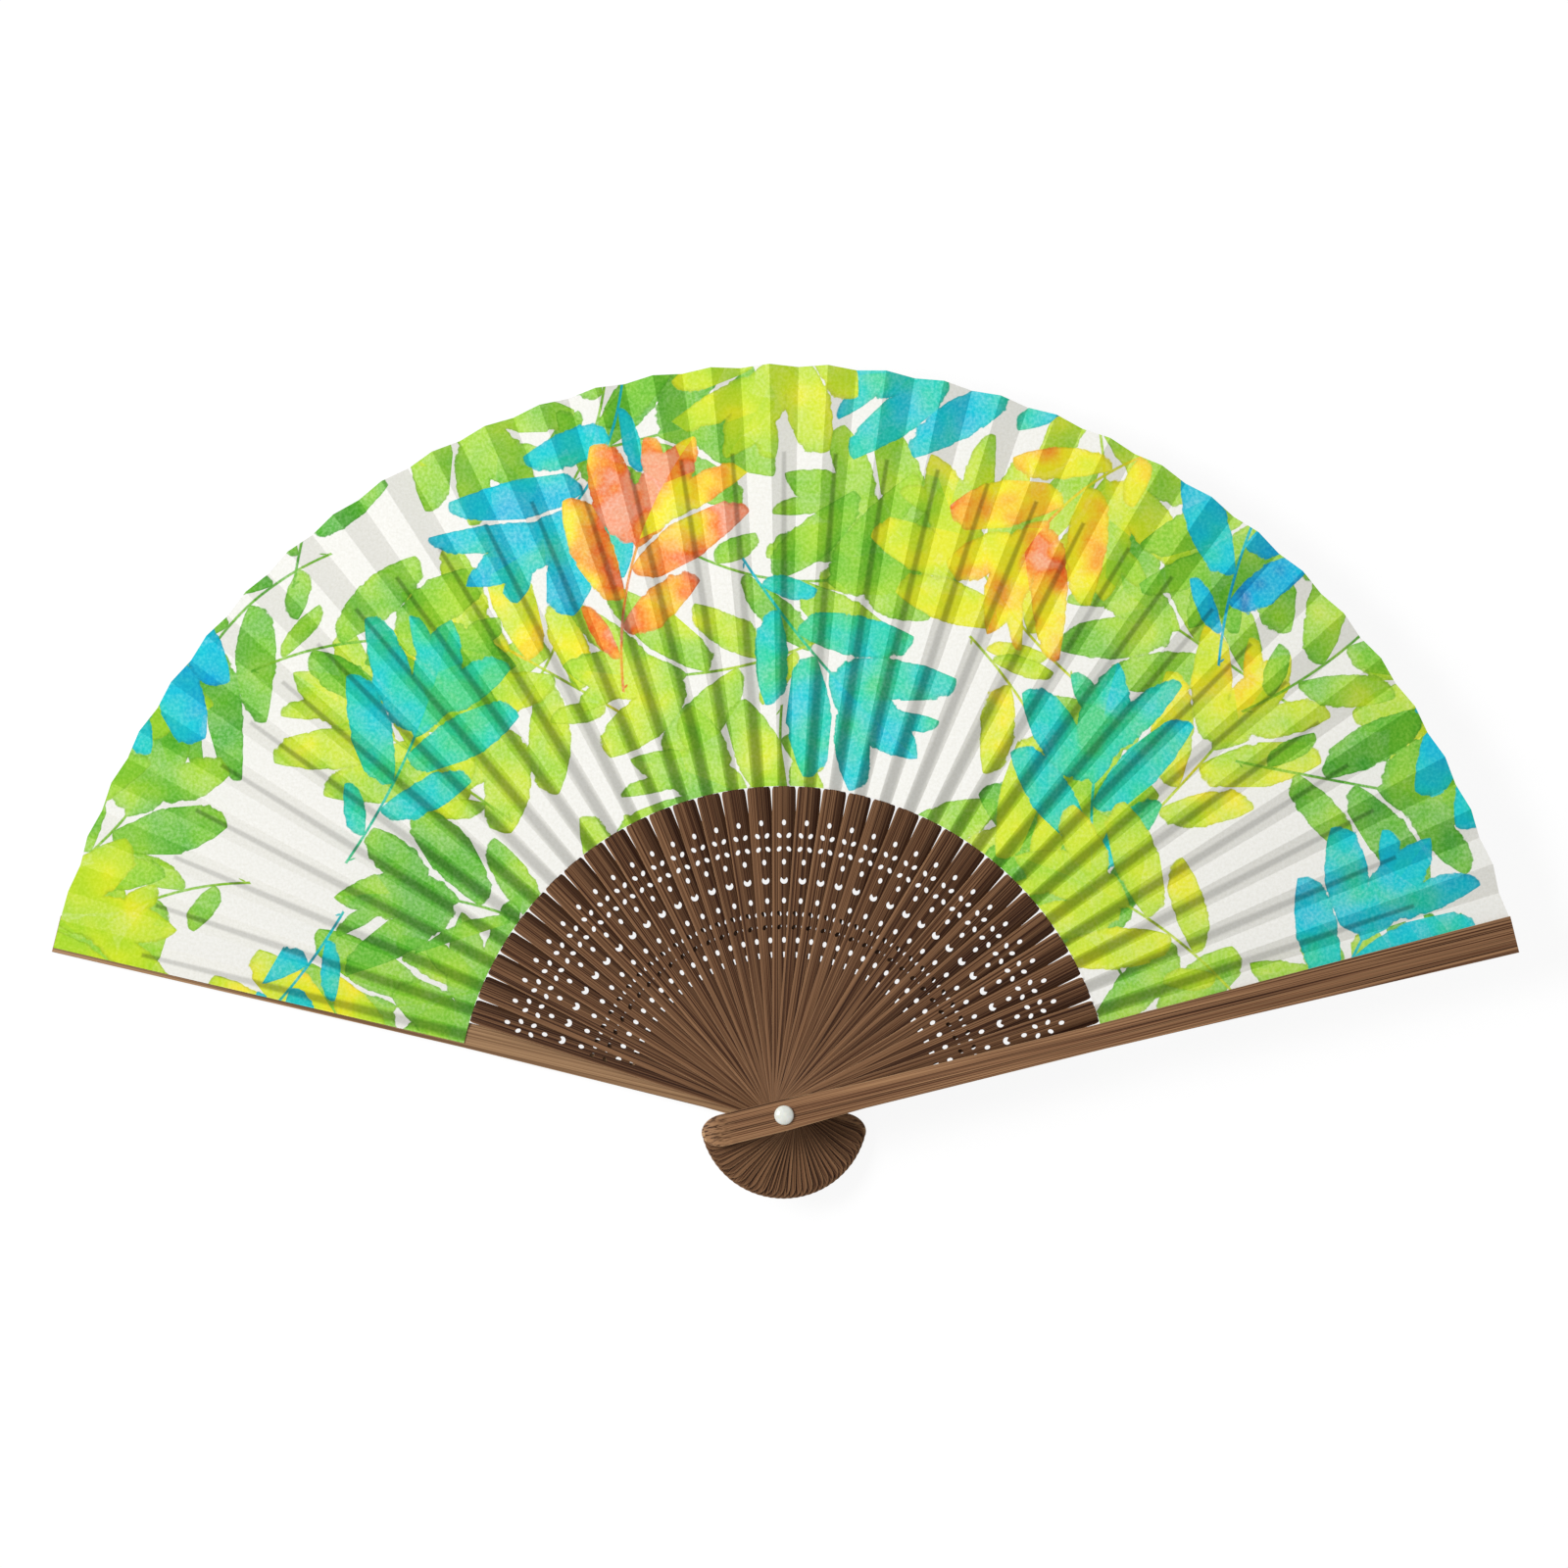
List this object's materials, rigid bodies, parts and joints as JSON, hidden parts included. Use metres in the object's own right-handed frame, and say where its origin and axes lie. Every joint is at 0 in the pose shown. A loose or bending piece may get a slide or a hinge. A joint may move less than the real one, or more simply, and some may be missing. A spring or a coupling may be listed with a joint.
{
  "type": "folding fan",
  "caption": "Open folding fan with perforated dark bamboo ribs, two lighter guards, a pleated printed paper leaf and a white-headed rivet on which every stick turns.",
  "frame": {"origin": "on the rivet's axis, at the flat face of the rivet's back head", "axes": "+Z along the rivet towards the printed side, +Y towards the middle of the open leaf, +X towards the front guard's side"},
  "size_m": [0.3686, 0.2096, 0.0248],
  "materials": {
    "guard_bamboo": "satin lacquered bamboo",
    "rib_bamboo": "satin stained bamboo",
    "printed_paper": "matte printed paper",
    "plain_paper": "matte paper",
    "rivet_plastic": "gloss"
  },
  "bodies": {
    "fan_base": {"guard_back": "guard_bamboo", "rivet": "rivet_plastic", "leaf_back": "plain_paper", "leaf_front": "printed_paper"},
    "stick_01": {"rib_01": "rib_bamboo"},
    "stick_02": {"rib_02": "rib_bamboo"},
    "stick_03": {"rib_03": "rib_bamboo"},
    "stick_04": {"rib_04": "rib_bamboo"},
    "stick_05": {"rib_05": "rib_bamboo"},
    "stick_06": {"rib_06": "rib_bamboo"},
    "stick_07": {"rib_07": "rib_bamboo"},
    "stick_08": {"rib_08": "rib_bamboo"},
    "stick_09": {"rib_09": "rib_bamboo"},
    "stick_10": {"rib_10": "rib_bamboo"},
    "stick_11": {"rib_11": "rib_bamboo"},
    "stick_12": {"rib_12": "rib_bamboo"},
    "stick_13": {"rib_13": "rib_bamboo"},
    "stick_14": {"rib_14": "rib_bamboo"},
    "stick_15": {"rib_15": "rib_bamboo"},
    "stick_16": {"rib_16": "rib_bamboo"},
    "stick_17": {"rib_17": "rib_bamboo"},
    "stick_18": {"rib_18": "rib_bamboo"},
    "stick_19": {"rib_19": "rib_bamboo"},
    "stick_20": {"rib_20": "rib_bamboo"},
    "stick_21": {"rib_21": "rib_bamboo"},
    "stick_22": {"rib_22": "rib_bamboo"},
    "stick_23": {"rib_23": "rib_bamboo"},
    "stick_24": {"rib_24": "rib_bamboo"},
    "stick_25": {"rib_25": "rib_bamboo"},
    "stick_26": {"rib_26": "rib_bamboo"},
    "stick_27": {"rib_27": "rib_bamboo"},
    "stick_28": {"rib_28": "rib_bamboo"},
    "stick_29": {"rib_29": "rib_bamboo"},
    "stick_30": {"rib_30": "rib_bamboo"},
    "stick_31": {"rib_31": "rib_bamboo"},
    "stick_32": {"rib_32": "rib_bamboo"},
    "stick_33": {"rib_33": "rib_bamboo"},
    "front_stick": {"guard_front": "guard_bamboo"}
  },
  "joints": [
    {"name": "fan_fold", "type": "hinge", "parent": "fan_base", "child": "front_stick", "pos_m": [0, 0, 0], "axis": [0, 0, 1], "range_deg": [0, 152.2], "deforming": ["leaf_front", "leaf_back"]},
    {"name": "rib_01_turn", "type": "hinge", "parent": "fan_base", "child": "stick_01", "pos_m": [0, 0, 0], "axis": [0, 0, 1], "range_deg": [0, 4.53]},
    {"name": "rib_02_turn", "type": "hinge", "parent": "fan_base", "child": "stick_02", "pos_m": [0, 0, 0], "axis": [0, 0, 1], "range_deg": [0, 9]},
    {"name": "rib_03_turn", "type": "hinge", "parent": "fan_base", "child": "stick_03", "pos_m": [0, 0, 0], "axis": [0, 0, 1], "range_deg": [0, 13.48]},
    {"name": "rib_04_turn", "type": "hinge", "parent": "fan_base", "child": "stick_04", "pos_m": [0, 0, 0], "axis": [0, 0, 1], "range_deg": [0, 17.96]},
    {"name": "rib_05_turn", "type": "hinge", "parent": "fan_base", "child": "stick_05", "pos_m": [0, 0, 0], "axis": [0, 0, 1], "range_deg": [0, 22.43]},
    {"name": "rib_06_turn", "type": "hinge", "parent": "fan_base", "child": "stick_06", "pos_m": [0, 0, 0], "axis": [0, 0, 1], "range_deg": [0, 26.91]},
    {"name": "rib_07_turn", "type": "hinge", "parent": "fan_base", "child": "stick_07", "pos_m": [0, 0, 0], "axis": [0, 0, 1], "range_deg": [0, 31.39]},
    {"name": "rib_08_turn", "type": "hinge", "parent": "fan_base", "child": "stick_08", "pos_m": [0, 0, 0], "axis": [0, 0, 1], "range_deg": [0, 35.86]},
    {"name": "rib_09_turn", "type": "hinge", "parent": "fan_base", "child": "stick_09", "pos_m": [0, 0, 0], "axis": [0, 0, 1], "range_deg": [0, 40.34]},
    {"name": "rib_10_turn", "type": "hinge", "parent": "fan_base", "child": "stick_10", "pos_m": [0, 0, 0], "axis": [0, 0, 1], "range_deg": [0, 44.81]},
    {"name": "rib_11_turn", "type": "hinge", "parent": "fan_base", "child": "stick_11", "pos_m": [0, 0, 0], "axis": [0, 0, 1], "range_deg": [0, 49.29]},
    {"name": "rib_12_turn", "type": "hinge", "parent": "fan_base", "child": "stick_12", "pos_m": [0, 0, 0], "axis": [0, 0, 1], "range_deg": [0, 53.77]},
    {"name": "rib_13_turn", "type": "hinge", "parent": "fan_base", "child": "stick_13", "pos_m": [0, 0, 0], "axis": [0, 0, 1], "range_deg": [0, 58.24]},
    {"name": "rib_14_turn", "type": "hinge", "parent": "fan_base", "child": "stick_14", "pos_m": [0, 0, 0], "axis": [0, 0, 1], "range_deg": [0, 62.72]},
    {"name": "rib_15_turn", "type": "hinge", "parent": "fan_base", "child": "stick_15", "pos_m": [0, 0, 0], "axis": [0, 0, 1], "range_deg": [0, 67.2]},
    {"name": "rib_16_turn", "type": "hinge", "parent": "fan_base", "child": "stick_16", "pos_m": [0, 0, 0], "axis": [0, 0, 1], "range_deg": [0, 71.67]},
    {"name": "rib_17_turn", "type": "hinge", "parent": "fan_base", "child": "stick_17", "pos_m": [0, 0, 0], "axis": [0, 0, 1], "range_deg": [0, 76.15]},
    {"name": "rib_18_turn", "type": "hinge", "parent": "fan_base", "child": "stick_18", "pos_m": [0, 0, 0], "axis": [0, 0, 1], "range_deg": [0, 80.63]},
    {"name": "rib_19_turn", "type": "hinge", "parent": "fan_base", "child": "stick_19", "pos_m": [0, 0, 0], "axis": [0, 0, 1], "range_deg": [0, 85.1]},
    {"name": "rib_20_turn", "type": "hinge", "parent": "fan_base", "child": "stick_20", "pos_m": [0, 0, 0], "axis": [0, 0, 1], "range_deg": [0, 89.58]},
    {"name": "rib_21_turn", "type": "hinge", "parent": "fan_base", "child": "stick_21", "pos_m": [0, 0, 0], "axis": [0, 0, 1], "range_deg": [0, 94.06]},
    {"name": "rib_22_turn", "type": "hinge", "parent": "fan_base", "child": "stick_22", "pos_m": [0, 0, 0], "axis": [0, 0, 1], "range_deg": [0, 98.53]},
    {"name": "rib_23_turn", "type": "hinge", "parent": "fan_base", "child": "stick_23", "pos_m": [0, 0, 0], "axis": [0, 0, 1], "range_deg": [0, 103.01]},
    {"name": "rib_24_turn", "type": "hinge", "parent": "fan_base", "child": "stick_24", "pos_m": [0, 0, 0], "axis": [0, 0, 1], "range_deg": [0, 107.48]},
    {"name": "rib_25_turn", "type": "hinge", "parent": "fan_base", "child": "stick_25", "pos_m": [0, 0, 0], "axis": [0, 0, 1], "range_deg": [0, 111.96]},
    {"name": "rib_26_turn", "type": "hinge", "parent": "fan_base", "child": "stick_26", "pos_m": [0, 0, 0], "axis": [0, 0, 1], "range_deg": [0, 116.44]},
    {"name": "rib_27_turn", "type": "hinge", "parent": "fan_base", "child": "stick_27", "pos_m": [0, 0, 0], "axis": [0, 0, 1], "range_deg": [0, 120.92]},
    {"name": "rib_28_turn", "type": "hinge", "parent": "fan_base", "child": "stick_28", "pos_m": [0, 0, 0], "axis": [0, 0, 1], "range_deg": [0, 125.39]},
    {"name": "rib_29_turn", "type": "hinge", "parent": "fan_base", "child": "stick_29", "pos_m": [0, 0, 0], "axis": [0, 0, 1], "range_deg": [0, 129.87]},
    {"name": "rib_30_turn", "type": "hinge", "parent": "fan_base", "child": "stick_30", "pos_m": [0, 0, 0], "axis": [0, 0, 1], "range_deg": [0, 134.34]},
    {"name": "rib_31_turn", "type": "hinge", "parent": "fan_base", "child": "stick_31", "pos_m": [0, 0, 0], "axis": [0, 0, 1], "range_deg": [0, 138.82]},
    {"name": "rib_32_turn", "type": "hinge", "parent": "fan_base", "child": "stick_32", "pos_m": [0, 0, 0], "axis": [0, 0, 1], "range_deg": [0, 143.3]},
    {"name": "rib_33_turn", "type": "hinge", "parent": "fan_base", "child": "stick_33", "pos_m": [0, 0, 0], "axis": [0, 0, 1], "range_deg": [0, 147.77]}
  ],
  "couplings": [
    {"joint": "rib_01_turn", "follows": "fan_fold", "ratio": 0.029412},
    {"joint": "rib_02_turn", "follows": "fan_fold", "ratio": 0.058824},
    {"joint": "rib_03_turn", "follows": "fan_fold", "ratio": 0.088235},
    {"joint": "rib_04_turn", "follows": "fan_fold", "ratio": 0.11765},
    {"joint": "rib_05_turn", "follows": "fan_fold", "ratio": 0.14706},
    {"joint": "rib_06_turn", "follows": "fan_fold", "ratio": 0.17647},
    {"joint": "rib_07_turn", "follows": "fan_fold", "ratio": 0.20588},
    {"joint": "rib_08_turn", "follows": "fan_fold", "ratio": 0.23529},
    {"joint": "rib_09_turn", "follows": "fan_fold", "ratio": 0.26471},
    {"joint": "rib_10_turn", "follows": "fan_fold", "ratio": 0.29412},
    {"joint": "rib_11_turn", "follows": "fan_fold", "ratio": 0.32353},
    {"joint": "rib_12_turn", "follows": "fan_fold", "ratio": 0.35294},
    {"joint": "rib_13_turn", "follows": "fan_fold", "ratio": 0.38235},
    {"joint": "rib_14_turn", "follows": "fan_fold", "ratio": 0.41176},
    {"joint": "rib_15_turn", "follows": "fan_fold", "ratio": 0.44118},
    {"joint": "rib_16_turn", "follows": "fan_fold", "ratio": 0.47059},
    {"joint": "rib_17_turn", "follows": "fan_fold", "ratio": 0.5},
    {"joint": "rib_18_turn", "follows": "fan_fold", "ratio": 0.52941},
    {"joint": "rib_19_turn", "follows": "fan_fold", "ratio": 0.55882},
    {"joint": "rib_20_turn", "follows": "fan_fold", "ratio": 0.58824},
    {"joint": "rib_21_turn", "follows": "fan_fold", "ratio": 0.61765},
    {"joint": "rib_22_turn", "follows": "fan_fold", "ratio": 0.64706},
    {"joint": "rib_23_turn", "follows": "fan_fold", "ratio": 0.67647},
    {"joint": "rib_24_turn", "follows": "fan_fold", "ratio": 0.70588},
    {"joint": "rib_25_turn", "follows": "fan_fold", "ratio": 0.73529},
    {"joint": "rib_26_turn", "follows": "fan_fold", "ratio": 0.76471},
    {"joint": "rib_27_turn", "follows": "fan_fold", "ratio": 0.79412},
    {"joint": "rib_28_turn", "follows": "fan_fold", "ratio": 0.82353},
    {"joint": "rib_29_turn", "follows": "fan_fold", "ratio": 0.85294},
    {"joint": "rib_30_turn", "follows": "fan_fold", "ratio": 0.88235},
    {"joint": "rib_31_turn", "follows": "fan_fold", "ratio": 0.91176},
    {"joint": "rib_32_turn", "follows": "fan_fold", "ratio": 0.94118},
    {"joint": "rib_33_turn", "follows": "fan_fold", "ratio": 0.97059}
  ]
}
